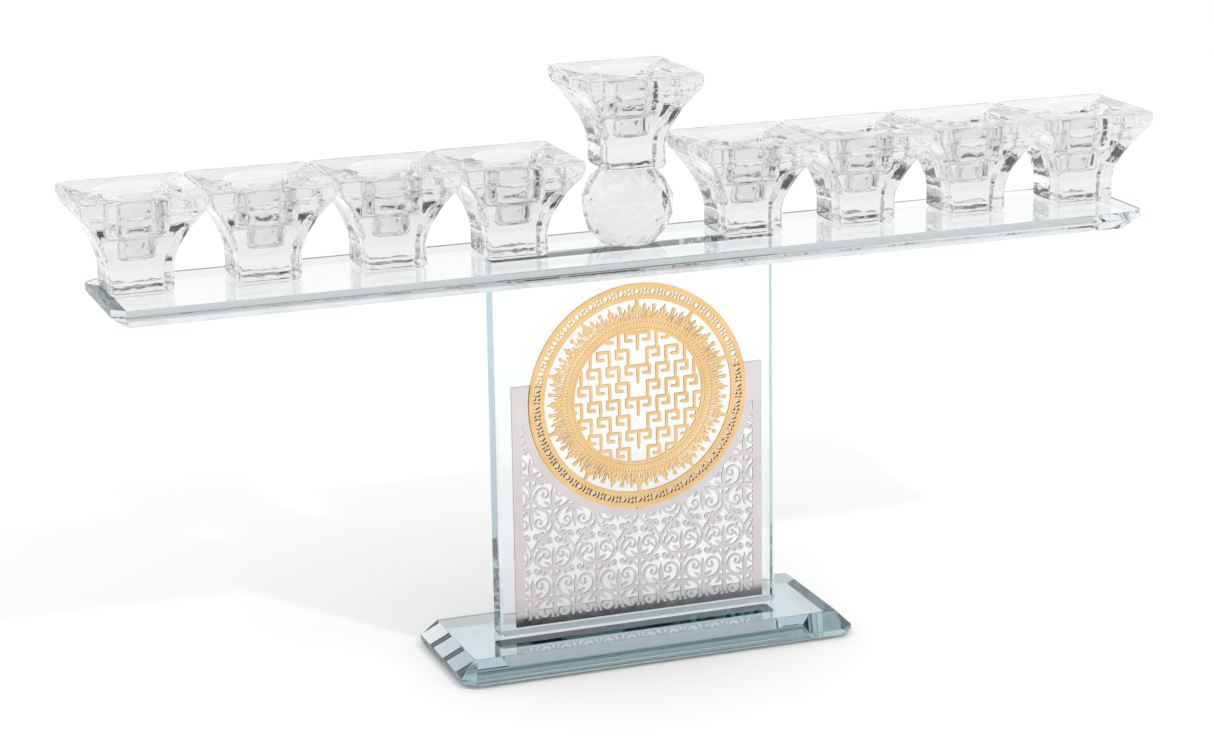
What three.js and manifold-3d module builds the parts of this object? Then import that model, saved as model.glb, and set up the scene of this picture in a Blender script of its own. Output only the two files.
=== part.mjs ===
// Crystal menorah: bevelled base, upright glass panel with two cut-metal plaques,
// bevel-down glass shelf, eight candle cups in a row and a ninth cup raised on a faceted ball.
// Millimetres, +Z up, +X along the shelf, -Y is the front, Z = 0 is the table.

import * as THREE from "three";
import { mergeVertices } from "three/addons/utils/BufferGeometryUtils.js";
import Module from "manifold-3d";

const wasm = await Module();
wasm.setup();

// ---- Driving dimensions ----------------------------------------------------------------

const CUP_PITCH = 48;
const CUPS_EACH_SIDE = 4;
const CUP_ROW_Y = 3.6;

const BUMPER = { radius: 4.5, height: 1.2, edge: 0.3, insetX: 14, insetY: 12 };
const BACKING = { thickness: 0.4, inset: 1.0 };
const BASE = { length: 162.4, width: 62.8, thickness: 8.4, bevelRun: 6.1, bevelRise: 6.2, clip: 4.6 };
const PANEL = { width: 115.6, thickness: 10, height: 143.2, arris: 1.1 };
const SHELF = { length: 415.0, width: 55.2, thickness: 8, bevelRun: 6.0, bevelRise: 4.8, clip: 4.6, y: -1.6 };
const CUP = {
  height: 37.4, footHalf: 12.1, rimHalf: 23.8, rimBand: 5.0, footBand: 8.0,
  flarePower: 1.72, footCorner: 1.6, rimCorner: 2.2, footChamfer: 0.7, rimEase: 0.6,
};
const WELL = { mouthRadius: 12.6, seatRadius: 12.1, seatDepth: 15.2, socketRadius: 7.4, depth: 24.4 };
const BALL = { radius: 18.0, height: 29.6, sides: 12, bands: 5 };
const PLAQUE = { width: 103.5, height: 97.0, bottomGap: 3.3, thickness: 0.6, cutoutRadius: 39.8, border: 4.2 };
const MEDALLION = { radius: 44.9, centreHeight: 91.5, thickness: 0.6, nibWidth: 2.4, nibHeight: 1.0 };

// ---- Levels, from the table upwards ----------------------------------------------------

const BACKING_Z = BUMPER.height;
const BASE_Z = BACKING_Z + BACKING.thickness;
const PANEL_Z = BASE_Z + BASE.thickness;
const SHELF_Z = PANEL_Z + PANEL.height;
const CUP_Z = SHELF_Z + SHELF.thickness;
const RAISED_CUP_Z = CUP_Z + BALL.height;
const PANEL_FRONT_Y = -PANEL.thickness / 2;

// ---- Materials -------------------------------------------------------------------------

function material(color, roughness, metalness, opacity = 1) {
  return new THREE.MeshStandardMaterial({
    color, roughness, metalness, opacity, transparent: opacity < 1,
  });
}

const clearCrystal = () => material(0xf4f5f6, 0.04, 0.0, 0.35);
const floatGlass = () => material(0xdff0ee, 0.05, 0.0, 0.35);
const silveredBack = () => material(0xc9ced0, 0.08, 1.0);
const silverSheet = () => material(0xd3cdcc, 0.22, 1.0);
const goldSheet = () => material(0xe2b068, 0.25, 1.0);
const softBumper = () => material(0xd9dcdc, 0.6, 0.0);

// ---- Solid-building helpers ------------------------------------------------------------

// Joins coincident vertices, so that a solid is one closed indexed mesh.
function welded(geometry) {
  geometry.deleteAttribute("normal");
  geometry.deleteAttribute("uv");
  return mergeVertices(geometry, 1e-4);
}

function asManifold(geometry) {
  const source = welded(geometry);
  return new wasm.Manifold(new wasm.Mesh({
    numProp: 3,
    vertProperties: new Float32Array(source.attributes.position.array),
    triVerts: new Uint32Array(source.index.array),
  }));
}

function asGeometry(solid) {
  const mesh = solid.getMesh();
  const geometry = new THREE.BufferGeometry();
  geometry.setAttribute("position", new THREE.BufferAttribute(mesh.vertProperties, 3));
  geometry.setIndex(new THREE.BufferAttribute(mesh.triVerts, 1));
  return geometry;
}

// Stacks closed convex rings of equal point count into one capped solid, lowest ring first.
// Each ring is anticlockwise seen from above.
function loft(rings) {
  const count = rings[0].length;
  const positions = rings.flat().flatMap((p) => [p.x, p.y, p.z]);
  const index = [];
  for (let level = 0; level < rings.length - 1; level++) {
    for (let i = 0; i < count; i++) {
      const a = level * count + i;
      const b = level * count + (i + 1) % count;
      index.push(a, b, b + count, a, b + count, a + count);
    }
  }
  const top = (rings.length - 1) * count;
  for (let i = 1; i < count - 1; i++) {
    index.push(0, i + 1, i);
    index.push(top, top + i, top + i + 1);
  }
  const geometry = new THREE.BufferGeometry();
  geometry.setAttribute("position", new THREE.Float32BufferAttribute(positions, 3));
  geometry.setIndex(index);
  return geometry;
}

// A rectangle with its corners cut off straight, as a ring at height z.
function clippedRectangle(length, width, clip, z) {
  const x = length / 2;
  const y = width / 2;
  const corners = [
    [x, -y + clip], [x, y - clip], [x - clip, y], [-x + clip, y],
    [-x, y - clip], [-x, -y + clip], [-x + clip, -y], [x - clip, -y],
  ];
  return corners.map(([px, py]) => new THREE.Vector3(px, py, z));
}

// A square with rounded corners, as a ring at height z.
function roundedSquare(half, radius, z, stepsPerCorner = 3) {
  const ring = [];
  for (let corner = 0; corner < 4; corner++) {
    const middle = (corner + 0.5) * Math.PI / 2;
    const centre = (half - radius) * Math.SQRT2;
    for (let step = 0; step <= stepsPerCorner; step++) {
      const angle = corner * Math.PI / 2 + step / stepsPerCorner * Math.PI / 2;
      ring.push(new THREE.Vector3(
        centre * Math.cos(middle) + radius * Math.cos(angle),
        centre * Math.sin(middle) + radius * Math.sin(angle),
        z,
      ));
    }
  }
  return ring;
}

// A corner cut that keeps the clipped face's slope when the outline shrinks by run.
function innerClip(clip, run) {
  return Math.max(clip - run * (2 - Math.SQRT2), 0.4);
}

function part(name, geometry, look, x = 0, y = 0, z = 0) {
  const mesh = new THREE.Mesh(welded(geometry), look);
  mesh.name = name;
  mesh.position.set(x, y, z);
  return mesh;
}

// ---- Plates ----------------------------------------------------------------------------

function basePlate() {
  const { length, width, thickness, bevelRun, bevelRise, clip } = BASE;
  const topClip = innerClip(clip, bevelRun);
  return loft([
    clippedRectangle(length, width, clip, 0),
    clippedRectangle(length, width, clip, thickness - bevelRise),
    clippedRectangle(length - 2 * bevelRun, width - 2 * bevelRun, topClip, thickness),
  ]);
}

// The shelf lies with its bevel underneath, so the cups stand on its full width.
function shelfPlate() {
  const { length, width, thickness, bevelRun, bevelRise, clip } = SHELF;
  const bottomClip = innerClip(clip, bevelRun);
  return loft([
    clippedRectangle(length - 2 * bevelRun, width - 2 * bevelRun, bottomClip, 0),
    clippedRectangle(length, width, clip, bevelRise),
    clippedRectangle(length, width, clip, thickness),
  ]);
}

function uprightPanel() {
  return loft([0, PANEL.height].map(
    (z) => clippedRectangle(PANEL.width, PANEL.thickness, PANEL.arris, z),
  ));
}

function mirrorBacking() {
  const { inset, thickness } = BACKING;
  return loft([0, thickness].map(
    (z) => clippedRectangle(BASE.length - 2 * inset, BASE.width - 2 * inset, BASE.clip, z),
  ));
}

function bumper() {
  const { radius, height, edge } = BUMPER;
  const profile = [[0, 0], [radius - edge, 0], [radius, edge], [radius, height], [0, height]];
  return new THREE.LatheGeometry(profile.map(([r, z]) => new THREE.Vector2(r, z)), 24)
    .rotateX(Math.PI / 2);
}

// ---- Candle cup ------------------------------------------------------------------------

// Half the cup's width at height z: a straight foot, a concave flare, then the rim band.
function cupHalf(z) {
  const flareTop = CUP.height - CUP.rimBand;
  const t = THREE.MathUtils.clamp((z - CUP.footBand) / (flareTop - CUP.footBand), 0, 1);
  return CUP.footHalf + (CUP.rimHalf - CUP.footHalf) * Math.pow(t, CUP.flarePower);
}

function cupBody() {
  const flareRings = 9;
  const flareTop = CUP.height - CUP.rimBand;
  const rings = [roundedSquare(CUP.footHalf - CUP.footChamfer, CUP.footCorner, 0)];
  rings.push(roundedSquare(CUP.footHalf, CUP.footCorner, CUP.footChamfer));
  for (let i = 0; i <= flareRings; i++) {
    const z = CUP.footBand + (flareTop - CUP.footBand) * i / flareRings;
    const corner = THREE.MathUtils.lerp(CUP.footCorner, CUP.rimCorner, i / flareRings);
    rings.push(roundedSquare(cupHalf(z), corner, z));
  }
  rings.push(roundedSquare(CUP.rimHalf, CUP.rimCorner, CUP.height - CUP.rimEase));
  rings.push(roundedSquare(CUP.rimHalf - CUP.rimEase, CUP.rimCorner, CUP.height));
  return loft(rings);
}

// The hollow of a cup: a wide seat over a narrow socket, running out past the rim.
function cupWell() {
  const past = 2;
  const profile = [
    [0, CUP.height - WELL.depth],
    [WELL.socketRadius, CUP.height - WELL.depth],
    [WELL.socketRadius, CUP.height - WELL.seatDepth],
    [WELL.seatRadius, CUP.height - WELL.seatDepth],
    [WELL.mouthRadius, CUP.height - CUP.rimEase],
    [WELL.mouthRadius + CUP.rimEase, CUP.height],
    [WELL.mouthRadius + CUP.rimEase, CUP.height + past],
    [0, CUP.height + past],
  ];
  return new THREE.LatheGeometry(profile.map(([r, z]) => new THREE.Vector2(r, z)), 32)
    .rotateX(Math.PI / 2);
}

function candleCup() {
  return asGeometry(asManifold(cupBody()).subtract(asManifold(cupWell())));
}

// ---- Faceted ball ----------------------------------------------------------------------

// Rings of points on a sphere, each turned half a step from the one below it, joined by
// triangles, with a flat cut at the top and at the bottom.
function facetedBall() {
  const { radius, height, sides, bands } = BALL;
  const flatAngle = Math.asin(height / 2 / radius);
  const positions = [];
  for (let level = 0; level <= bands; level++) {
    const latitude = -flatAngle + 2 * flatAngle * level / bands;
    for (let i = 0; i < sides; i++) {
      const angle = (i + (level % 2) / 2) * 2 * Math.PI / sides;
      const ringRadius = radius * Math.cos(latitude);
      positions.push(ringRadius * Math.cos(angle), ringRadius * Math.sin(angle));
      positions.push(radius * Math.sin(latitude) + height / 2);
    }
  }
  const index = [];
  for (let level = 0; level < bands; level++) {
    for (let i = 0; i < sides; i++) {
      const a = level * sides + i;
      const b = level * sides + (i + 1) % sides;
      const above = (level % 2 === 0) ? a + sides : b + sides;
      const before = (level % 2 === 0) ? (i + sides - 1) % sides : i;
      index.push(a, b, above);
      index.push(a, above, (level + 1) * sides + before);
    }
  }
  const top = bands * sides;
  for (let i = 1; i < sides - 1; i++) {
    index.push(0, i + 1, i);
    index.push(top, top + i, top + i + 1);
  }
  const geometry = new THREE.BufferGeometry();
  geometry.setAttribute("position", new THREE.Float32BufferAttribute(positions, 3));
  geometry.setIndex(index);
  return geometry;
}

// ---- Cut-metal plaques -----------------------------------------------------------------

function closedShape(points) {
  return new THREE.Shape(points.map(([x, y]) => new THREE.Vector2(x, y)));
}

// A sheet drawn in X and Z with openings cut through it. Its back is at y = 0 and its front
// is towards -Y.
function perforatedSheet(outline, openings, thickness) {
  const past = 1;
  const plate = new THREE.ExtrudeGeometry(outline, { depth: thickness, bevelEnabled: false });
  const cutters = new THREE.ExtrudeGeometry(openings.map(closedShape), {
    depth: thickness + 2 * past, bevelEnabled: false,
  }).translate(0, 0, -past);
  return asGeometry(asManifold(plate).subtract(asManifold(cutters))).rotateX(Math.PI / 2);
}

function circlePoints(radius, steps) {
  return Array.from({ length: steps }, (_, i) => {
    const angle = i / steps * 2 * Math.PI;
    return [radius * Math.cos(angle), radius * Math.sin(angle)];
  });
}

// A pointed leaf of the given length and width, turned by angle about its middle.
function leafPoints(cx, cy, length, width, angle) {
  const steps = 4;
  const points = [];
  for (const side of [1, -1]) {
    for (let i = 0; i < steps; i++) {
      const t = i / steps;
      const along = side * (t - 0.5) * length;
      const across = -side * Math.sin(Math.PI * t) * width / 2;
      points.push([
        cx + along * Math.cos(angle) - across * Math.sin(angle),
        cy + along * Math.sin(angle) + across * Math.cos(angle),
      ]);
    }
  }
  return points;
}

// The silver plaque: a plate with a round bay for the medallion and a field of leaf openings.
// Its origin is the middle of its bottom edge.
function silverPlaque() {
  const { width, height, border, bottomGap, cutoutRadius } = PLAQUE;
  const bayZ = MEDALLION.centreHeight - bottomGap;
  const bayStart = Math.asin((height - bayZ) / cutoutRadius);
  const outline = new THREE.Shape();
  outline.moveTo(-width / 2, 0);
  outline.lineTo(width / 2, 0);
  outline.lineTo(width / 2, height);
  const steps = 48;
  for (let i = 0; i <= steps; i++) {
    const angle = bayStart - (Math.PI + 2 * bayStart) * i / steps;
    outline.lineTo(cutoutRadius * Math.cos(angle), bayZ + cutoutRadius * Math.sin(angle));
  }
  outline.lineTo(-width / 2, height);
  outline.closePath();

  const openings = [];
  const cell = 7.9;
  const leaf = { length: 7.0, width: 3.6 };
  const columns = Math.floor((width / 2 - border) / cell);
  const keepOut = MEDALLION.radius + border + leaf.length / 2;
  for (let row = 0; row * cell < height; row++) {
    for (let column = -columns; column < columns; column++) {
      const x = (column + 0.5) * cell;
      const z = border + (row + 0.6) * cell;
      if (Math.hypot(x, z - bayZ) < keepOut || z > height - 2 * cell) continue;
      const turn = ((row + column) % 2 === 0 ? 1 : -1) * Math.PI / 4;
      openings.push(leafPoints(x, z, leaf.length, leaf.width, turn));
    }
  }
  return perforatedSheet(outline, openings, PLAQUE.thickness);
}

// One opening of a ring pattern: a band between two radii over a span of angle.
function ringSlot(innerRadius, outerRadius, middle, span, steps = 2) {
  const points = [];
  for (let i = 0; i <= steps; i++) {
    const angle = middle - span / 2 + span * i / steps;
    points.push([innerRadius * Math.cos(angle), innerRadius * Math.sin(angle)]);
  }
  for (let i = steps; i >= 0; i--) {
    const angle = middle - span / 2 + span * i / steps;
    points.push([outerRadius * Math.cos(angle), outerRadius * Math.sin(angle)]);
  }
  return points;
}

// The medallion's edge: a circle with a small square nib at its lowest point.
function medallionOutline() {
  const { radius, nibWidth, nibHeight } = MEDALLION;
  const steps = 96;
  const lowest = steps * 3 / 4;
  const shoulder = -Math.sqrt(radius ** 2 - nibWidth ** 2 / 4);
  const nib = [
    [-nibWidth / 2, shoulder], [-nibWidth / 2, -radius - nibHeight],
    [nibWidth / 2, -radius - nibHeight], [nibWidth / 2, shoulder],
  ];
  const points = circlePoints(radius, steps);
  points.splice(lowest, 1, ...nib);
  return closedShape(points);
}

// The gold medallion: a slotted rim, a ring of arched openings, and a fretted middle.
function goldMedallion() {
  const { radius } = MEDALLION;
  const openings = [];
  const rimSlots = 36;
  for (let i = 0; i < rimSlots; i++) {
    const angle = (i + 0.5) / rimSlots * 2 * Math.PI;
    openings.push(ringSlot(0.89 * radius, 0.955 * radius, angle, 0.09));
  }
  const arches = 24;
  for (let i = 0; i < arches; i++) {
    const angle = (i + 0.5) / arches * 2 * Math.PI;
    openings.push(ringSlot(0.745 * radius, 0.84 * radius, angle, 0.16));
  }
  const fretRadius = 0.56 * radius;
  const rows = 7;
  const bar = 1.4;
  const rowHeight = 2 * fretRadius / rows;
  for (let row = 0; row < rows; row++) {
    const z = -fretRadius + (row + 0.5) * rowHeight;
    const reach = Math.sqrt(fretRadius ** 2 - (Math.abs(z) + rowHeight / 2 - bar) ** 2);
    const cells = Math.max(2, 2 * Math.round(reach / rowHeight / 1.1));
    const cellWidth = 2 * reach / cells;
    for (let i = 0; i < cells; i++) {
      const x = -reach + (i + 0.5) * cellWidth;
      const halfX = (cellWidth - bar) / 2;
      const halfZ = (rowHeight - bar) / 2;
      openings.push([
        [x - halfX, z - halfZ], [x + halfX, z - halfZ], [x + halfX, z + halfZ], [x - halfX, z + halfZ],
      ]);
    }
  }
  return perforatedSheet(medallionOutline(), openings, MEDALLION.thickness);
}

// ---- Assembly --------------------------------------------------------------------------

const menorah = new THREE.Group();
menorah.name = "menorah";

let bumperNumber = 1;
for (const sideY of [-1, 1]) {
  for (const sideX of [-1, 1]) {
    menorah.add(part(
      `bumper_${bumperNumber}`, bumper(), softBumper(),
      sideX * (BASE.length / 2 - BUMPER.insetX), sideY * (BASE.width / 2 - BUMPER.insetY), 0,
    ));
    bumperNumber += 1;
  }
}
menorah.add(part("mirror_backing", mirrorBacking(), silveredBack(), 0, 0, BACKING_Z));
menorah.add(part("base_plate", basePlate(), floatGlass(), 0, 0, BASE_Z));
menorah.add(part("upright_panel", uprightPanel(), floatGlass(), 0, 0, PANEL_Z));
menorah.add(part("silver_plaque", silverPlaque(), silverSheet(), 0, PANEL_FRONT_Y, PANEL_Z + PLAQUE.bottomGap));
menorah.add(part(
  "gold_medallion", goldMedallion(), goldSheet(),
  0, PANEL_FRONT_Y - PLAQUE.thickness, PANEL_Z + MEDALLION.centreHeight,
));
menorah.add(part("shelf_plate", shelfPlate(), floatGlass(), 0, SHELF.y, SHELF_Z));

let cupNumber = 1;
for (const side of [-1, 1]) {
  for (let place = 1; place <= CUPS_EACH_SIDE; place++) {
    const step = side < 0 ? CUPS_EACH_SIDE + 1 - place : place;
    const x = side * step * CUP_PITCH;
    menorah.add(part(`candle_cup_${cupNumber}`, candleCup(), clearCrystal(), x, CUP_ROW_Y, CUP_Z));
    cupNumber += 1;
  }
}
menorah.add(part("shamash_ball", facetedBall(), clearCrystal(), 0, CUP_ROW_Y, CUP_Z));
menorah.add(part("shamash_cup", candleCup(), clearCrystal(), 0, CUP_ROW_Y, RAISED_CUP_Z));

export default menorah;
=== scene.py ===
"""The looks of the crystal menorah: glass plates and cups, a faceted ball, and two cut-metal plaques.

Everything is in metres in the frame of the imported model: +X along the shelf, -Y towards the front, +Z up.
"""

import math

import bpy
import numpy as np
from mathutils import Matrix, Vector, geometry


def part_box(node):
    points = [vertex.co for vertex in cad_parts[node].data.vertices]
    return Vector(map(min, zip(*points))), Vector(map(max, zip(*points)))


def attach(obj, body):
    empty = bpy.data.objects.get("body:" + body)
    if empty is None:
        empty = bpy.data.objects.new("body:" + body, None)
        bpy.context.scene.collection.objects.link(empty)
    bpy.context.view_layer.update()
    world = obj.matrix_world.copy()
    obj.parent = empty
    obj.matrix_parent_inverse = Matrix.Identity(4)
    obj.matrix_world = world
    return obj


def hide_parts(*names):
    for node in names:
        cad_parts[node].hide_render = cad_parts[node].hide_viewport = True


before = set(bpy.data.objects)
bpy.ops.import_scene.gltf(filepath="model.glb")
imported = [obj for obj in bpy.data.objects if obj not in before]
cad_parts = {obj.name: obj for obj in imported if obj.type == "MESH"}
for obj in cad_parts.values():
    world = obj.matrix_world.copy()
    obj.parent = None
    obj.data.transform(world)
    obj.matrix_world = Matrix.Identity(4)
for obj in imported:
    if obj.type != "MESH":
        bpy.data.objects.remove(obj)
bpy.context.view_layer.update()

MM = 0.001
JOINT_GAP = 0.02 * MM  # the film of glue between two glued pieces
CUP_NAMES = [f"candle_cup_{i}" for i in range(1, 9)] + ["shamash_cup"]

# ---- Camera ----------------------------------------------------------------------------------

CAMERA_AZIMUTH = math.radians(-19.864)
CAMERA_ELEVATION = math.radians(15.111)
CAMERA_ROLL = math.radians(-0.915)
CAMERA_DISTANCE = 1.2612
CAMERA_AIM = (-0.0106, 0.0, 0.1124)
CAMERA_LENS = 96.57


def make_camera():
    """Looks at the object from the front left and a little above, tilted by a small roll."""
    level = math.cos(CAMERA_ELEVATION)
    back = Vector((
        math.sin(CAMERA_AZIMUTH) * level,
        -math.cos(CAMERA_AZIMUTH) * level,
        math.sin(CAMERA_ELEVATION),
    ))
    right = (-back).cross(Vector((0, 0, 1))).normalized()
    up = back.cross(right)
    axis_x = right * math.cos(CAMERA_ROLL) + up * math.sin(CAMERA_ROLL)
    axis_y = up * math.cos(CAMERA_ROLL) - right * math.sin(CAMERA_ROLL)
    data = bpy.data.cameras.new("camera")
    data.lens = CAMERA_LENS
    data.sensor_width = 36
    data.clip_start = 0.01
    data.clip_end = 100
    camera = bpy.data.objects.new("camera", data)
    bpy.context.scene.collection.objects.link(camera)
    turn = Matrix((axis_x, axis_y, back)).transposed().to_4x4()
    camera.matrix_world = Matrix.Translation(Vector(CAMERA_AIM) + back * CAMERA_DISTANCE) @ turn
    bpy.context.scene.camera = camera


# ---- Small helpers ---------------------------------------------------------------------------


def node(tree, kind, **inputs):
    """A new node; its inputs are given by name with underscores for spaces."""
    made = tree.nodes.new(kind)
    for name, value in inputs.items():
        made.inputs[name.replace("_", " ")].default_value = value
    return made


def mesh_object(name, vertices, faces, sharp_degrees=28):
    """A smooth-shaded mesh object whose edges sharper than the angle stay crisp."""
    mesh = bpy.data.meshes.new(name)
    mesh.from_pydata([tuple(v) for v in vertices], [], faces)
    mesh.validate()
    mesh.shade_smooth()
    mesh.set_sharp_from_angle(angle=math.radians(sharp_degrees))
    made = bpy.data.objects.new(name, mesh)
    bpy.context.scene.collection.objects.link(made)
    return made


def ease_edges(obj, width, segments=2, over_degrees=25):
    """Rounds every edge sharper than the angle, as polishing does."""
    bevel = obj.modifiers.new("eased edges", "BEVEL")
    bevel.width = width
    bevel.segments = segments
    bevel.limit_method = "ANGLE"
    bevel.angle_limit = math.radians(over_degrees)
    bevel.harden_normals = True
    return obj


def ring_faces(levels, count, closed_bottom=True, closed_top=True):
    """Faces of a loft through rings of equal count, lowest ring first, capped at both ends."""
    faces = []
    for level in range(levels - 1):
        for i in range(count):
            a = level * count + i
            b = level * count + (i + 1) % count
            faces.append((a, b, b + count, a + count))
    if closed_bottom:
        faces.append(tuple(range(count - 1, -1, -1)))
    if closed_top:
        faces.append(tuple(range((levels - 1) * count, levels * count)))
    return faces


def add_piece(obj, material, slot, *stands_for):
    """Gives a piece its material and its body, and hides the CAD nodes it stands for. The slot is not used.
    """
    obj.data.materials.append(material)
    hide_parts(*stands_for)
    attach(obj, "root")
    return obj


# ---- Materials -------------------------------------------------------------------------------

CRYSTAL_IOR = 1.53
FLOAT_GLASS_IOR = 1.52
FLOAT_GLASS_TINT = (0.60, 0.75, 0.78, 1)
WELL_TRANSMISSION = 0.93  # the rest is scattered, as by a faint frost


def new_material(name):
    material = bpy.data.materials.new(name)
    material.use_nodes = True
    tree = material.node_tree
    tree.nodes.clear()
    output = tree.nodes.new("ShaderNodeOutputMaterial")
    return material, tree, output


def noise_range(tree, scale, low, high, detail=3.0):
    """Noise in object space, mapped to run from low to high."""
    coordinates = tree.nodes.new("ShaderNodeTexCoord")
    noise = node(tree, "ShaderNodeTexNoise", Scale=scale, Detail=detail)
    spread = node(tree, "ShaderNodeMapRange", From_Min=0.3, From_Max=0.7, To_Min=low, To_Max=high)
    tree.links.new(coordinates.outputs["Object"], noise.inputs["Vector"])
    tree.links.new(noise.outputs["Fac"], spread.inputs["Value"])
    return spread.outputs["Result"]


def glass_material(name, ior, painted_shade_tint, ripple_scale, ripple):
    """Clear glass: faint waviness in its surface and a trace of haze. Its base colour greys all that is seen
    through it, painted shade for the dimmer studio around the glass. Returns its tree and output too.
    """
    material, tree, output = new_material(name)
    shader = node(tree, "ShaderNodeBsdfPrincipled", Transmission_Weight=1.0, IOR=ior)
    shader.inputs["Base Color"].default_value = (*painted_shade_tint, 1)
    tree.links.new(noise_range(tree, 60, 0.0, 0.012), shader.inputs["Roughness"])
    bump = node(tree, "ShaderNodeBump", Strength=ripple, Distance=0.0001)
    tree.links.new(noise_range(tree, ripple_scale, 0.0, 1.0, 1.0), bump.inputs["Height"])
    tree.links.new(bump.outputs["Normal"], shader.inputs["Normal"])
    tree.links.new(shader.outputs["BSDF"], output.inputs["Surface"])
    return material, tree, output


def crystal_material():
    # The grey base colour here is painted shade: it dims the crystal as the darker studio around it would.
    return glass_material("clear crystal", CRYSTAL_IOR, (0.85, 0.84, 0.845), 210, 1.0)[0]


def well_material():
    """The inside of a well, with a faint frost such as a mould's plunger leaves."""
    material, tree, _ = glass_material("moulded well", CRYSTAL_IOR, (1, 1, 1), 150, 0.8)
    tree.nodes["Principled BSDF"].inputs["Transmission Weight"].default_value = WELL_TRANSMISSION
    return material


def float_glass_material(name, painted_shade_tint, density):
    """Flat glass, whose teal tint shows where light runs a long way through it; its grey base colour is
    painted shade.
    """
    material, tree, output = glass_material(name, FLOAT_GLASS_IOR, painted_shade_tint, 30, 0.03)
    depth = node(tree, "ShaderNodeVolumeAbsorption", Density=density)
    depth.inputs["Color"].default_value = FLOAT_GLASS_TINT
    tree.links.new(depth.outputs["Volume"], output.inputs["Volume"])
    return material


def metal_material(name, colour, deep_colour, low_rough, high_rough):
    """Thin polished sheet: colour that drifts a little, and roughness broken by fine rolling marks."""
    material, tree, output = new_material(name)
    shader = node(tree, "ShaderNodeBsdfPrincipled", Metallic=1.0)
    drift = tree.nodes.new("ShaderNodeMix")
    drift.data_type = "RGBA"
    drift.inputs["A"].default_value = (*deep_colour, 1)
    drift.inputs["B"].default_value = (*colour, 1)
    tree.links.new(noise_range(tree, 70, 0.0, 1.0), drift.inputs["Factor"])
    tree.links.new(drift.outputs["Result"], shader.inputs["Base Color"])
    tree.links.new(noise_range(tree, 240, low_rough, high_rough), shader.inputs["Roughness"])
    bump = node(tree, "ShaderNodeBump", Strength=0.2, Distance=0.00002)
    tree.links.new(noise_range(tree, 900, 0.0, 1.0), bump.inputs["Height"])
    tree.links.new(bump.outputs["Normal"], shader.inputs["Normal"])
    tree.links.new(shader.outputs["BSDF"], output.inputs["Surface"])
    return material


def silver_material():
    return metal_material("silver sheet", (0.66, 0.625, 0.62), (0.60, 0.565, 0.56), 0.10, 0.18)


def gold_material():
    return metal_material("gold sheet", (0.80, 0.55, 0.26), (0.72, 0.46, 0.19), 0.10, 0.18)


def cut_edge_material(name, colour):
    """The dark, matt edge that a laser or an acid bath leaves on cut sheet."""
    material, tree, output = new_material(name)
    shader = node(tree, "ShaderNodeBsdfPrincipled", Metallic=0.4)
    shade = tree.nodes.new("ShaderNodeMix")
    shade.data_type = "RGBA"
    shade.inputs["A"].default_value = (*(0.6 * channel for channel in colour), 1)
    shade.inputs["B"].default_value = (*(1.4 * channel for channel in colour), 1)
    tree.links.new(noise_range(tree, 400, 0.0, 1.0), shade.inputs["Factor"])
    tree.links.new(shade.outputs["Result"], shader.inputs["Base Color"])
    tree.links.new(noise_range(tree, 900, 0.4, 0.65), shader.inputs["Roughness"])
    tree.links.new(shader.outputs["BSDF"], output.inputs["Surface"])
    return material


def mirror_material():
    return metal_material("silvered back", (0.88, 0.90, 0.90), (0.84, 0.86, 0.87), 0.02, 0.06)


def glue_material():
    """Clear glue, as dense as glass, so that light crosses the joint without turning."""
    material, tree, output = new_material("clear glue")
    shader = node(tree, "ShaderNodeBsdfPrincipled", Transmission_Weight=1.0, IOR=1.0)
    tint = tree.nodes.new("ShaderNodeMix")
    tint.data_type = "RGBA"
    tint.inputs["A"].default_value = (0.97, 0.98, 0.98, 1)
    tint.inputs["B"].default_value = (1, 1, 1, 1)
    tree.links.new(noise_range(tree, 150, 0.0, 1.0), tint.inputs["Factor"])
    tree.links.new(tint.outputs["Result"], shader.inputs["Base Color"])
    shader.inputs["Roughness"].default_value = 0.0
    tree.links.new(shader.outputs["BSDF"], output.inputs["Surface"])
    return material


def bumper_material():
    """Soft clear pad, frosted by handling."""
    material, tree, output = new_material("soft pad")
    shader = node(tree, "ShaderNodeBsdfPrincipled", IOR=1.45, Transmission_Weight=0.6)
    shader.inputs["Base Color"].default_value = (0.86, 0.88, 0.88, 1)
    tree.links.new(noise_range(tree, 900, 0.35, 0.6), shader.inputs["Roughness"])
    tree.links.new(shader.outputs["BSDF"], output.inputs["Surface"])
    return material


# ---- Plates ----------------------------------------------------------------------------------

PANEL_ARRIS = 1.1 * MM
PLATE_EDGE = 0.22 * MM  # how far the plates' edges are eased
PANEL_EDGE = 0.1 * MM


def clipped_rectangle(length, width, clip, z):
    """A rectangle with its corners cut off straight, as a ring at height z."""
    x, y = length / 2, width / 2
    return [
        (x, -y + clip, z), (x, y - clip, z), (x - clip, y, z), (-x + clip, y, z),
        (-x, y - clip, z), (-x, -y + clip, z), (-x + clip, -y, z), (x - clip, -y, z),
    ]


def plate(name, rings, edge, material, glue, glued_caps):
    """A glass plate lofted through clipped rectangles; its glued caps pass light straight on."""
    made = mesh_object(name + "_glass", [v for ring in rings for v in ring], ring_faces(len(rings), 8), 5)
    ease_edges(made, edge)
    add_piece(made, material, "float_glass", name)
    made.data.materials.append(glue)
    caps = {"bottom": len(made.data.polygons) - 2, "top": len(made.data.polygons) - 1}
    for cap in glued_caps:
        made.data.polygons[caps[cap]].material_index = 1
    return made


def panel_foot(z):
    """The outline of the upright panel at height z, where a plate is glued to it."""
    low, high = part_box("upright_panel")
    return clipped_rectangle(high.x - low.x, high.y - low.y, PANEL_ARRIS, z)


def inner_clip(clip, run):
    """A corner cut that keeps the clipped face's slope when the outline shrinks by run."""
    return clip - run * (2 - math.sqrt(2))


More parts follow.
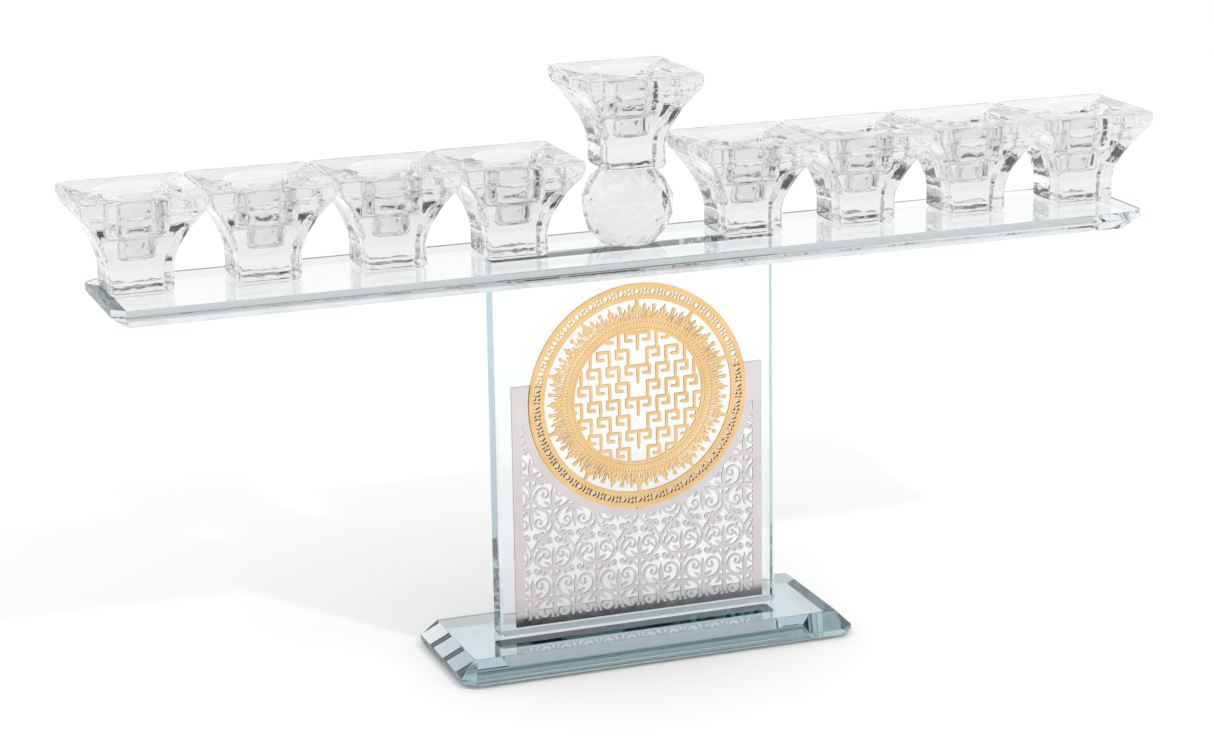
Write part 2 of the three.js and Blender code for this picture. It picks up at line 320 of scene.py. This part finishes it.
def base_plate(material, glue):
    low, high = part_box("base_plate")
    length, width = high.x - low.x, high.y - low.y
    run, rise, clip = 6.1 * MM, 6.2 * MM, 4.6 * MM
    rings = [
        clipped_rectangle(length, width, clip, low.z + JOINT_GAP),
        clipped_rectangle(length, width, clip, high.z - rise),
        clipped_rectangle(length - 2 * run, width - 2 * run, inner_clip(clip, run), high.z),
        panel_foot(high.z),
    ]
    return plate("base_plate", rings, PLATE_EDGE, material, glue, ["top"])


def shelf_plate(material, glue):
    low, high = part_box("shelf_plate")
    length, width = high.x - low.x, high.y - low.y
    middle = (high.y + low.y) / 2
    run, rise, clip = 6.0 * MM, 4.8 * MM, 4.6 * MM
    rings = [
        clipped_rectangle(length - 2 * run, width - 2 * run, inner_clip(clip, run), low.z + JOINT_GAP),
        clipped_rectangle(length, width, clip, low.z + rise),
        clipped_rectangle(length, width, clip, high.z),
    ]
    rings = [[(x, y + middle, z) for x, y, z in ring] for ring in rings]
    rings.insert(0, panel_foot(low.z + JOINT_GAP))
    return plate("shelf_plate", rings, PLATE_EDGE, material, glue, ["bottom"])


def upright_panel(material, glue):
    low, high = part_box("upright_panel")
    rings = [panel_foot(low.z + JOINT_GAP), panel_foot(high.z)]
    return plate("upright_panel", rings, PANEL_EDGE, material, glue, ["bottom", "top"])


# ---- Candle cups -----------------------------------------------------------------------------

CORNER_STEPS = 7
SIDE_STEPS = 12
CUP = {
    "height": 37.4, "foot": 12.1, "rim": 23.8, "rim_band": 5.0, "foot_band": 8.0, "flare_power": 1.72,
    "foot_corner": 2.0, "rim_corner": 2.8,
}
WELL = {"mouth": 12.6, "seat": 12.1, "seat_depth": 15.2, "socket": 7.4, "depth": 24.4}


def square_ring(half, corner, z):
    """A square with rounded corners; its side points are spread evenly in angle."""
    ring = []
    reach = math.atan((half - corner) / half)
    for quarter in range(4):
        turn = quarter * math.pi / 2
        outline = []
        for i in range(SIDE_STEPS):
            share = math.tan(reach * (2 * i / SIDE_STEPS - 1)) / math.tan(reach)
            outline.append((half, (half - corner) * share))
        for i in range(CORNER_STEPS):
            angle = math.pi / 2 * i / CORNER_STEPS
            outline.append((
                half - corner + corner * math.cos(angle), half - corner + corner * math.sin(angle),
            ))
        for x, y in outline:
            ring.append((x * math.cos(turn) - y * math.sin(turn), x * math.sin(turn) + y * math.cos(turn), z))
    return ring


def round_ring(radius, z, like):
    """A circle whose points lie in the same directions as those of another ring."""
    return [
        (radius * math.cos(math.atan2(y, x)), radius * math.sin(math.atan2(y, x)), z) for x, y, _ in like
    ]


def rounded_turn(start, corner, end, steps=4):
    """Points of a curve that leaves start towards corner and arrives at end."""
    points = []
    for i in range(steps + 1):
        t = i / steps
        points.append(tuple(
            (1 - t) ** 2 * a + 2 * t * (1 - t) * b + t ** 2 * c for a, b, c in zip(start, corner, end)
        ))
    return points


def cup_outside():
    """The outside of a cup as (half width, corner radius, height), from the foot up to the rim."""
    foot, rim, height = CUP["foot"], CUP["rim"], CUP["height"]
    flare_top = height - CUP["rim_band"]
    profile = rounded_turn((foot - 1.5, 0.0), (foot - 0.2, 0.0), (foot, 1.7), 5)
    profile += [(foot, 3.2), (foot, 5.5)]
    steps = 24
    for i in range(steps):
        t = i / steps
        z = CUP["foot_band"] + (flare_top - CUP["foot_band"]) * t
        profile.append((foot + (rim - foot) * t ** CUP["flare_power"], z))
    profile += rounded_turn((rim - 0.9, flare_top - 0.5), (rim, flare_top + 0.6), (rim, flare_top + 2.2), 6)
    profile += rounded_turn((rim, height - 1.4), (rim, height), (rim - 1.4, height), 6)
    corners = [CUP["foot_corner"] + (CUP["rim_corner"] - CUP["foot_corner"]) * z / height for _, z in profile]
    return [(half, corner, z) for (half, z), corner in zip(profile, corners)]


def well_profile():
    """The hollow of a cup as (radius, height), from its lip down to the bottom of the socket."""
    height = CUP["height"]
    mouth, seat, socket = WELL["mouth"], WELL["seat"], WELL["socket"]
    ledge = height - WELL["seat_depth"]
    floor = height - WELL["depth"]
    profile = rounded_turn((mouth + 1.2, height), (mouth, height), (mouth, height - 1.2), 5)
    profile += rounded_turn((seat, ledge + 4.2), (seat, ledge + 0.4), (seat - 3.4, ledge), 8)
    profile += rounded_turn((socket + 0.8, ledge), (socket, ledge), (socket, ledge - 0.8))
    profile += rounded_turn((socket, floor + 3.0), (socket, floor), (socket - 3.2, floor), 7)
    return profile


def candle_cup(name, material, well_material):
    low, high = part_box(name)
    rings = [square_ring(half, corner, z) for half, corner, z in cup_outside()]
    rim = rings[-1]
    rings += [round_ring(radius, z, rim) for radius, z in well_profile()]
    centre = Vector(((low.x + high.x) / 2, (low.y + high.y) / 2, low.z))
    vertices = [centre + Vector(v) * MM for ring in rings for v in ring]
    for v in vertices:
        v.z = max(v.z, low.z + JOINT_GAP)
    made = mesh_object(name + "_crystal", vertices, ring_faces(len(rings), len(rim)), 40)
    weights = made.modifiers.new("even shading", "WEIGHTED_NORMAL")
    weights.keep_sharp = True
    add_piece(made, material, "crystal", name)
    made.data.materials.append(well_material)
    outside_faces = len(cup_outside()) * len(rim)
    for face in made.data.polygons[outside_faces:]:
        face.material_index = 1
    made.data.polygons[len(made.data.polygons) - 2].material_index = 0
    return made


# ---- Faceted ball ----------------------------------------------------------------------------

BALL_SIDES = 12
BALL_BANDS = 5
BALL_RADIUS = 18.0 * MM


def shamash_ball(material):
    """Rings of points on a sphere, each turned half a step from the last, joined by flat facets."""
    low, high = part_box("shamash_ball")
    height = high.z - low.z - 2 * JOINT_GAP
    centre = (low + high) / 2
    flat = math.asin(height / 2 / BALL_RADIUS)
    vertices, faces = [], []
    for level in range(BALL_BANDS + 1):
        latitude = flat * (2 * level / BALL_BANDS - 1)
        for i in range(BALL_SIDES):
            angle = (i + level % 2 / 2) * 2 * math.pi / BALL_SIDES
            vertices.append(centre + BALL_RADIUS * Vector((
                math.cos(latitude) * math.cos(angle),
                math.cos(latitude) * math.sin(angle),
                math.sin(latitude),
            )))
    for level in range(BALL_BANDS):
        for i in range(BALL_SIDES):
            a = level * BALL_SIDES + i
            b = level * BALL_SIDES + (i + 1) % BALL_SIDES
            above = (a if level % 2 == 0 else b) + BALL_SIDES
            before = (i - 1) % BALL_SIDES if level % 2 == 0 else i
            faces += [(a, b, above), (a, above, (level + 1) * BALL_SIDES + before)]
    faces.append(tuple(range(BALL_SIDES - 1, -1, -1)))
    faces.append(tuple(range(BALL_BANDS * BALL_SIDES, (BALL_BANDS + 1) * BALL_SIDES)))
    made = mesh_object("faceted_ball", vertices, faces, 1)
    ease_edges(made, 0.05 * MM, segments=1, over_degrees=5)
    return add_piece(made, material, "crystal", "shamash_ball")


# ---- Cut-metal sheets ------------------------------------------------------------------------
#
# A sheet is drawn as a field over X and Z, in millimetres: the distance inside the metal's edge,
# negative in the openings. Its zero line is traced, and the metal is filled and given thickness.

SHEET_STEP = 0.2


class Sheet:
    """A drawing area for one sheet, from low to high in X and Z."""

    def __init__(self, low_x, high_x, low_z, high_z):
        self.xs = np.arange(low_x, high_x + SHEET_STEP, SHEET_STEP)
        self.zs = np.arange(low_z, high_z + SHEET_STEP, SHEET_STEP)
        self.x, self.z = np.meshgrid(self.xs, self.zs)
        self.metal = np.full(self.x.shape, -9.0)

    def stroke(self, points, widths):
        """Adds metal along a line whose width changes from point to point."""
        reach = max(widths)
        for (x0, z0), (x1, z1), w0, w1 in zip(points, points[1:], widths, widths[1:]):
            left, right = np.searchsorted(self.xs, (min(x0, x1) - reach, max(x0, x1) + reach))
            below, above = np.searchsorted(self.zs, (min(z0, z1) - reach, max(z0, z1) + reach))
            window = (slice(below, above), slice(left, right))
            x, z = self.x[window] - x0, self.z[window] - z0
            dx, dz = x1 - x0, z1 - z0
            t = np.clip((x * dx + z * dz) / max(dx * dx + dz * dz, 1e-9), 0, 1)
            inside = (w0 + (w1 - w0) * t) / 2 - np.hypot(x - t * dx, z - t * dz)
            self.metal[window] = np.maximum(self.metal[window], inside)

    def add(self, inside):
        self.metal = np.maximum(self.metal, inside)

    def cut(self, opening):
        self.metal = np.minimum(self.metal, -opening)

    def trim(self, inside):
        self.metal = np.minimum(self.metal, inside)


def cell_crossings(field):
    """The zero line as a map from each crossing to its two neighbours; a crossing is a grid edge."""
    inside = field > 0
    mixed = inside[:-1, :-1].astype(int) + inside[:-1, 1:] + inside[1:, :-1] + inside[1:, 1:]
    links = {}
    for row, column in np.argwhere((mixed > 0) & (mixed < 4)):
        corners = [(row, column), (row, column + 1), (row + 1, column + 1), (row + 1, column)]
        signs = [bool(inside[c]) for c in corners]
        edges = []
        for i in range(4):
            if signs[i] != signs[(i + 1) % 4]:
                ends = (corners[i], corners[(i + 1) % 4])
                edges.append(tuple(sorted(tuple(map(int, end)) for end in ends)))
        if len(edges) == 4:
            middle = sum(field[c] for c in corners) > 0
            edges = edges if middle != signs[0] else edges[1:] + edges[:1]
        for first, second in zip(edges[::2], edges[1::2]):
            links.setdefault(first, []).append(second)
            links.setdefault(second, []).append(first)
    return links


def traced_loops(sheet):
    """Closed outlines of the metal, as lists of (x, z)."""
    field = sheet.metal
    links = cell_crossings(field)
    loops = []
    while links:
        start = next(iter(links))
        loop, here = [], start
        while here in links:
            (a, b), onward = here, links.pop(here)
            share = field[a] / (field[a] - field[b])
            loop.append((
                sheet.xs[a[1]] + share * (sheet.xs[b[1]] - sheet.xs[a[1]]),
                sheet.zs[a[0]] + share * (sheet.zs[b[0]] - sheet.zs[a[0]]),
            ))
            here = next((n for n in onward if n in links), None)
        if len(loop) > 5:
            loops.append(loop)
    return loops


def simplified(loop, tolerance=0.02, longest=14):
    """The loop with points left out wherever a straight line passes within the tolerance."""
    points = np.array(loop)
    kept, start = [0], 0
    while start < len(points) - 1:
        end = start + 1
        while end + 1 < len(points) and end + 1 - start <= longest:
            chord = points[end + 1] - points[start]
            between = points[start + 1:end + 1] - points[start]
            off = np.abs(chord[0] * between[:, 1] - chord[1] * between[:, 0])
            if off.max() > tolerance * max(np.hypot(*chord), 1e-6):
                break
            end += 1
        kept.append(end)
        start = end
    return points[kept[:-1] if kept[-1] == len(points) - 1 and len(kept) > 4 else kept]


def sheet_object(name, sheet, front, back):
    """Fills the drawn metal and gives it thickness between two values of Y."""
    corners, edges = [], []
    for loop in traced_loops(sheet):
        points = simplified(loop)
        first = len(corners)
        corners += [tuple(p) for p in points]
        edges += [(first + i, first + (i + 1) % len(points)) for i in range(len(points))]
    flat, _, triangles, *_ = geometry.delaunay_2d_cdt([Vector(c) for c in corners], edges, [], 0, 1e-5)
    flat = np.array([tuple(p) for p in flat])
    triangles = np.array([tuple(t) for t in triangles])
    middles = flat[triangles].mean(axis=1)
    column = np.clip(((middles[:, 0] - sheet.xs[0]) / SHEET_STEP), 0, len(sheet.xs) - 1.001)
    row = np.clip(((middles[:, 1] - sheet.zs[0]) / SHEET_STEP), 0, len(sheet.zs) - 1.001)
    c, r = column.astype(int), row.astype(int)
    u, v = column - c, row - r
    metal = sheet.metal
    level = ((metal[r, c] * (1 - u) + metal[r, c + 1] * u) * (1 - v)
             + (metal[r + 1, c] * (1 - u) + metal[r + 1, c + 1] * u) * v)
    kept = [tuple(int(i) for i in t) for t in triangles[level > 0]]
    count = len(flat)
    vertices = [(x * MM, front, z * MM) for x, z in flat] + [(x * MM, back, z * MM) for x, z in flat]
    border = {}
    for a, b, c in kept:
        for edge in ((a, b), (b, c), (c, a)):
            if edge[::-1] in border:
                del border[edge[::-1]]
            else:
                border[edge] = True
    faces = kept + [(c + count, b + count, a + count) for a, b, c in kept]
    faces += [(b, a, a + count, b + count) for a, b in border]
    return mesh_object(name, vertices, faces, 20)


def add_sheet(obj, material, edge_material, slot, stands_for):
    """Adds a sheet whose cut edges have a material of their own."""
    add_piece(obj, material, slot, stands_for)
    obj.data.materials.append(edge_material)
    for face in obj.data.polygons:
        face.material_index = 1 if abs(face.normal.y) < 0.5 else 0
    return obj


def curl(x, z, reach, start, turns, hand, tight):
    """A scroll around (x, z) that starts at a distance of reach and winds in to tight times that."""
    steps = int(20 * turns)
    points, widths = [], []
    for i in range(steps + 1):
        t = i / steps
        angle = start + hand * turns * 2 * math.pi * t
        points.append((x + reach * tight ** t * math.cos(angle), z + reach * tight ** t * math.sin(angle)))
        widths.append(1.05 - 0.3 * t)
    widths[-1] = 1.25
    return points, widths


def leaf(x, z, direction, length, width):
    """A pointed leaf that leaves (x, z) in a direction."""
    steps = 6
    points = [(x + length * i / steps * math.cos(direction), z + length * i / steps * math.sin(direction))
              for i in range(steps + 1)]
    return points, [max(width * math.sin(math.pi * (0.12 + 0.86 * i / steps)), 0.3) for i in range(steps + 1)]


OGEE_WIDTH, OGEE_HEIGHT = 17.8, 24.6
OGEE_SCALE = 0.94  # the scrolls in a cell are drawn larger and shrunk to fit it


def ogee_cell(sheet, x, z, up):
    """A pointed cell around (x, z): two bowed stems, with scrolls and a bud that grow up or down."""
    def bow(rise):
        return OGEE_WIDTH / 4 * (1 - math.cos(2 * math.pi * rise / OGEE_HEIGHT))

    def placed(line, side):
        points, widths = line
        foot = z - up * OGEE_HEIGHT / 2
        return [(x + side * px * OGEE_SCALE, foot + up * pz * OGEE_SCALE) for px, pz in points], widths

    rises = [OGEE_HEIGHT * i / 20 for i in range(21)]
    for side in (1, -1):
        stem = [(bow(rise) / OGEE_SCALE, rise / OGEE_SCALE) for rise in rises]
        lines = [
            (stem, [1.05] * 21),
            curl(3.6, 12.4, 6.75, math.radians(-117), 1.45, 1, 0.10),
            curl(1.9, 19.0, 3.2, math.radians(93), 1.2, -1, 0.12),
            curl(5.1, 17.7, 1.9, math.radians(15), 0.9, 1, 0.3),
            leaf(0.2, 6.6, math.radians(38), 4.6, 1.5),
            leaf(bow(20) / OGEE_SCALE, 23.0, math.radians(60), 2.6, 1.0),
        ]
        for line in lines:
            sheet.stroke(*placed(line, side))
    sheet.stroke(*placed(([(0, 0), (0, 7.5)], [1.4, 1.0]), 1))
    sheet.stroke(*placed(leaf(0, 7.0, math.pi / 2, 8.4, 1.9), 1))


PLAQUE_SIDE_BORDER = 3.8
PLAQUE_FOOT_BORDER = 2.4
PLAQUE_BAY_BORDER = 3.4  # how far the plain metal reaches beyond the medallion's edge
PLAQUE_BAY_RADIUS = 39.8  # the round bay in the plaque's top, over which the medallion lies


def silver_plaque(material, edge_material):
    low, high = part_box("silver_plaque")
    disc_low, disc_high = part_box("gold_medallion")
    disc_radius = (disc_high.x - disc_low.x) / 2 / MM
    bay_z = disc_high.z / MM - disc_radius
    width, bottom, top = high.x / MM, low.z / MM, high.z / MM
    sheet = Sheet(-width - 1, width + 1, bottom - 1, top + 1)
    half_rows = int((top - bottom) / (OGEE_HEIGHT / 2)) + 2
    for row in range(half_rows):
        for column in range(-4, 5):
            shift = 0.5 if row % 2 else 0.0
            place_z = bottom + 4 + row * OGEE_HEIGHT / 2
            ogee_cell(sheet, (column + shift) * OGEE_WIDTH, place_z, -1 if row % 3 == 0 else 1)
    from_bay = np.hypot(sheet.x, sheet.z - bay_z)
    sheet.add(np.abs(sheet.x) - (width - PLAQUE_SIDE_BORDER))
    sheet.add(bottom + PLAQUE_FOOT_BORDER - sheet.z)
    sheet.add(disc_radius + PLAQUE_BAY_BORDER - from_bay)
    sheet.trim(np.minimum(width - np.abs(sheet.x), np.minimum(sheet.z - bottom, top - sheet.z)))
    sheet.trim(from_bay - PLAQUE_BAY_RADIUS)
    made = sheet_object("silver_filigree", sheet, low.y, high.y - JOINT_GAP)
    return add_sheet(made, material, edge_material, "silver", "silver_plaque")


def frieze_openings(sheet, from_centre, angle, radius, repeats):
    """The band's cut-out frieze: a lozenge between two bowed slits, and a dot, over and over."""
    arc = 2 * math.pi / repeats
    local = (np.mod(angle + arc / 2, arc) - arc / 2) * radius
    rise = from_centre - radius
    half = arc / 2 * radius
    lozenge = 1.45 - np.abs(local) * 1.35 - np.abs(rise)
    slit = 0.36 - np.abs(np.hypot(np.abs(local) + 0.4, rise) - 2.35)
    slit = np.minimum(slit, 1.25 - np.abs(rise))
    dot = 0.62 - np.hypot(np.abs(local) - half, np.abs(rise) - 0.85)
    for opening in (lozenge, slit, dot):
        sheet.cut(opening)


def skyline(sheet, from_centre, angle, foot, repeats):
    """A ring of generic domes and towers that stand outwards on a circle, with small windows."""
    arc = 2 * math.pi / repeats
    mirror = np.abs(np.mod(angle + arc / 2, arc) - arc / 2)
    rise = from_centre - foot
    across = mirror * (foot + 4.5)
    end = arc / 2 * (foot + 4.5)

    def block(middle, half, height):
        return np.minimum(half - np.abs(across - middle), height - rise)

    def dome(middle, radius, height):
        return radius - np.hypot(across - middle, rise - height)

    def spire(middle, half, base, height):
        return np.minimum(half * (1 - (rise - base) / height) - np.abs(across - middle), rise - base)

    shapes = [
        np.minimum(end + 1 - across, 2.3 - rise),
        block(0, 1.9, 5.0), dome(0, 2.05, 5.4), spire(0, 0.9, 6.6, 6.0),
        block(2.9, 0.55, 6.4), spire(2.9, 0.85, 6.2, 2.3),
        block(4.7, 1.0, 4.2), dome(4.7, 1.1, 4.6), spire(4.7, 0.45, 5.3, 1.9),
        block(6.6, 0.55, 7.2), dome(6.6, 0.75, 7.5),
        block(8.3, 0.95, 3.6), spire(8.3, 1.15, 3.5, 2.6),
        block(end, 1.15, 5.6), dome(end, 1.25, 6.0), spire(end, 0.5, 6.8, 2.4),
    ]
    for shape in shapes:
        sheet.add(np.minimum(shape, rise + 1))

    def slit(middle, half, low, high):
        return np.minimum(half - np.abs(across - middle), np.minimum(rise - low, high - rise))

    arches = 0.33 - np.abs(np.mod(across, 1.5) - 0.75)
    windows = [
        np.minimum(arches, np.minimum(rise - 0.7, 1.75 - rise)),
        slit(0, 0.4, 2.6, 4.3), slit(1.2, 0.28, 2.8, 4.0), 0.38 - np.hypot(across - 0.75, rise - 5.6),
        slit(2.9, 0.26, 3.2, 5.6),
        slit(4.7, 0.3, 2.9, 3.9),
        slit(6.6, 0.26, 3.4, 4.8), slit(6.6, 0.26, 5.5, 6.8),
        slit(8.3, 0.3, 2.9, 3.7),
        slit(end, 0.34, 3.0, 4.4), 0.36 - np.hypot(across - end, rise - 5.6),
    ]
    for window in windows:
        sheet.cut(window)


def fret_rows(sheet, centre_z, radius):
    """Rows of square meanders, the same on both sides of the middle, tied together row to row."""
    rows, bar = 8, 1.2
    pitch = 2 * radius / rows
    key = pitch * 1.18
    for row in range(rows):
        z = centre_z - radius + (row + 0.5) * pitch
        reach = math.sqrt(radius ** 2 - (abs(z - centre_z) - pitch * 0.1) ** 2)
        tall = pitch * 0.34
        for side in (1, -1):
            x = 0.0 if row % 2 else key / 2
            while x < reach:
                points = [
                    (x, z - tall), (x, z + tall), (x + key * 0.62, z + tall),
                    (x + key * 0.62, z - tall * 0.35), (x + key * 0.32, z - tall * 0.35),
                ]
                sheet.stroke([(side * px, pz) for px, pz in points], [bar] * 5)
                sheet.stroke([(side * x, z - tall), (side * x, z - tall - pitch * 0.34)], [bar * 0.8] * 2)
                x += key


BEADS = 144
SKYLINE_REPEATS = 10
FRIEZE_REPEATS = 40
# Circles of the medallion, as shares of its radius.
OPENING_SHARE = 0.587
ROPE_SHARE = 0.64
BAND_SHARE = 0.86
SKYLINE_SHARE = 0.88
FRIEZE_SHARE = 0.93


def gold_medallion(material, edge_material):
    low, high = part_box("gold_medallion")
    radius = (high.x - low.x) / 2 / MM
    centre = high.z / MM - radius
    sheet = Sheet(-radius - 1, radius + 1, centre - radius - 2, centre + radius + 1)
    x, z = sheet.x, sheet.z - centre
    from_centre = np.hypot(x, z)
    angle = np.arctan2(x, z)
    rope, opening = ROPE_SHARE * radius, OPENING_SHARE * radius
    fret_rows(sheet, centre, opening)
    sheet.trim(opening + 0.5 - from_centre)
    skyline(sheet, from_centre, angle, rope, SKYLINE_REPEATS)
    sheet.trim(SKYLINE_SHARE * radius - from_centre)
    sheet.add(np.minimum(rope - from_centre, from_centre - opening))
    bead = 2 * math.pi / BEADS
    middle = (rope + opening) / 2
    along = (np.mod(angle, bead) - bead / 2) * middle
    sheet.cut(0.32 - np.hypot(along, from_centre - middle))
    sheet.add(from_centre - BAND_SHARE * radius)
    frieze_openings(sheet, from_centre, angle, FRIEZE_SHARE * radius, FRIEZE_REPEATS)
    nib = np.minimum(1.2 - np.abs(x), np.minimum(-z - radius + 2, z + radius + 1.0))
    sheet.trim(np.maximum(radius - from_centre, nib))
    made = sheet_object("gold_openwork", sheet, low.y, high.y - JOINT_GAP)
    return add_sheet(made, material, edge_material, "gold", "gold_medallion")


# ---- Studio ----------------------------------------------------------------------------------

PLAIN_LIGHT = 1.14
KEY_PLACE = (0.28, -0.57, 0.74)
KEY_ENERGY = 6.0
# Darker places that glass and metal mirror, chosen for the view from the front left; they also darken the
# base as seen from behind. Each is an axis, the cosine where the shade begins, the cosine where it is full,
# and what is left of the light. The notes say what stands there in an imagined studio.
DARK_PLACES = [
    ((-0.1, -1.0, 0.15), 0.72, 0.82, 0.1),  # the room behind the camera
    ((0.1, -0.1, 1.0), 0.86, 0.93, 0.08),  # the gap above the overhead panel
    ((0.77, -0.55, 0.33), 0.86, 0.93, 0.08),  # the gap at the right of the camera
    ((0.0, -0.75, 0.65), 0.84, 0.92, 0.08),  # the gap above the camera
    ((0.33, 0.56, 0.77), 0.955, 0.975, 0.7),  # the seam where the backdrop meets the overhead panel
]


def make_floor():
    """A pale seamless floor, large enough to fill the view."""
    steps = 64
    radius = 9.0
    ring = [
        (radius * math.cos(i * 2 * math.pi / steps), radius * math.sin(i * 2 * math.pi / steps), 0)
        for i in range(steps)
    ]
    floor = mesh_object("floor", ring, [tuple(range(steps))])
    material, tree, output = new_material("pale floor")
    shader = node(tree, "ShaderNodeBsdfDiffuse")
    shader.inputs["Color"].default_value = (0.9, 0.9, 0.9, 1)
    tree.links.new(shader.outputs["BSDF"], output.inputs["Surface"])
    floor.data.materials.append(material)


def scaled(tree, value, from_min, from_max, to_min, to_max):
    """A value eased from one range into another."""
    ramp = node(
        tree, "ShaderNodeMapRange", From_Min=from_min, From_Max=from_max, To_Min=to_min, To_Max=to_max,
    )
    ramp.interpolation_type = "SMOOTHSTEP"
    tree.links.new(value, ramp.inputs["Value"])
    return ramp.outputs["Result"]


def combined(tree, operation, first, second):
    made = tree.nodes.new("ShaderNodeMath")
    made.operation = operation
    for socket, value in zip(made.inputs, (first, second)):
        if isinstance(value, (int, float)):
            socket.default_value = value
        else:
            tree.links.new(value, socket)
    return made.outputs["Value"]


def toward(tree, direction, axis):
    """How far a direction points along an axis, from -1 to 1."""
    facing = tree.nodes.new("ShaderNodeVectorMath")
    facing.operation = "DOT_PRODUCT"
    facing.inputs[1].default_value = Vector(axis).normalized()
    tree.links.new(direction, facing.inputs[0])
    return facing.outputs["Value"]


def make_world():
    """Plain white light, while glass and metal mirror a white studio with the darker places in it."""
    world = bpy.data.worlds.new("studio")
    bpy.context.scene.world = world
    world.use_nodes = True
    tree = world.node_tree
    tree.nodes.clear()
    output = tree.nodes.new("ShaderNodeOutputWorld")
    background = node(tree, "ShaderNodeBackground", Strength=1.0)
    direction = tree.nodes.new("ShaderNodeTexCoord").outputs["Generated"]
    studio = 1.0
    for axis, outer, inner, shade in DARK_PLACES:
        place = scaled(tree, toward(tree, direction, axis), outer, inner, 1.0, shade)
        studio = combined(tree, "MULTIPLY", place, studio)
    path = tree.nodes.new("ShaderNodeLightPath")
    plain = combined(tree, "MAXIMUM", path.outputs["Is Camera Ray"], path.outputs["Is Diffuse Ray"])
    shown = tree.nodes.new("ShaderNodeMix")
    tree.links.new(plain, shown.inputs["Factor"])
    tree.links.new(studio, shown.inputs["A"])
    shown.inputs["B"].default_value = PLAIN_LIGHT
    tree.links.new(shown.outputs["Result"], background.inputs["Color"])
    tree.links.new(background.outputs["Background"], output.inputs["Surface"])


def make_key_light():
    """A small lamp in front, on the right and above, for the long shadows behind the object."""
    data = bpy.data.lights.new("key", "POINT")
    data.energy = KEY_ENERGY
    data.shadow_soft_size = 0.02
    lamp = bpy.data.objects.new("key", data)
    lamp.location = KEY_PLACE
    lamp.visible_transmission = False
    lamp.visible_glossy = False
    bpy.context.scene.collection.objects.link(lamp)


def set_look():
    """Plain display transform, and enough bounces for light to find its way through the glass."""
    scene = bpy.context.scene
    scene.view_settings.view_transform = "Standard"
    scene.cycles.max_bounces = 40
    scene.cycles.transmission_bounces = 40
    scene.cycles.glossy_bounces = 24
    scene.cycles.diffuse_bounces = 4
    scene.cycles.transparent_max_bounces = 24
    scene.cycles.blur_glossy = 0.3


# ---- Build -----------------------------------------------------------------------------------

make_camera()
make_world()
make_key_light()
make_floor()
set_look()

crystal = crystal_material()
well = well_material()
glue = glue_material()

# The grey base colours given to the plates are painted shade, dimming all that is seen through them.
base_plate(float_glass_material("base glass", (0.96, 0.96, 0.965), 28.0), glue)
upright_panel(float_glass_material("panel glass", (0.98, 0.985, 0.99), 14.0), glue)
shelf_plate(float_glass_material("shelf glass", (0.93, 0.935, 0.94), 6.0), glue)
for cup_name in CUP_NAMES:
    candle_cup(cup_name, crystal, well)
shamash_ball(crystal)

silver_plaque(silver_material(), cut_edge_material("cut silver", (0.20, 0.18, 0.18)))
gold_medallion(gold_material(), cut_edge_material("cut gold", (0.30, 0.13, 0.04)))

carried = {"mirror_backing": mirror_material()}
for i in range(1, 5):
    carried[f"bumper_{i}"] = bumper_material()
for name, look in carried.items():
    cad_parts[name].data.materials.clear()
    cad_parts[name].data.materials.append(look)
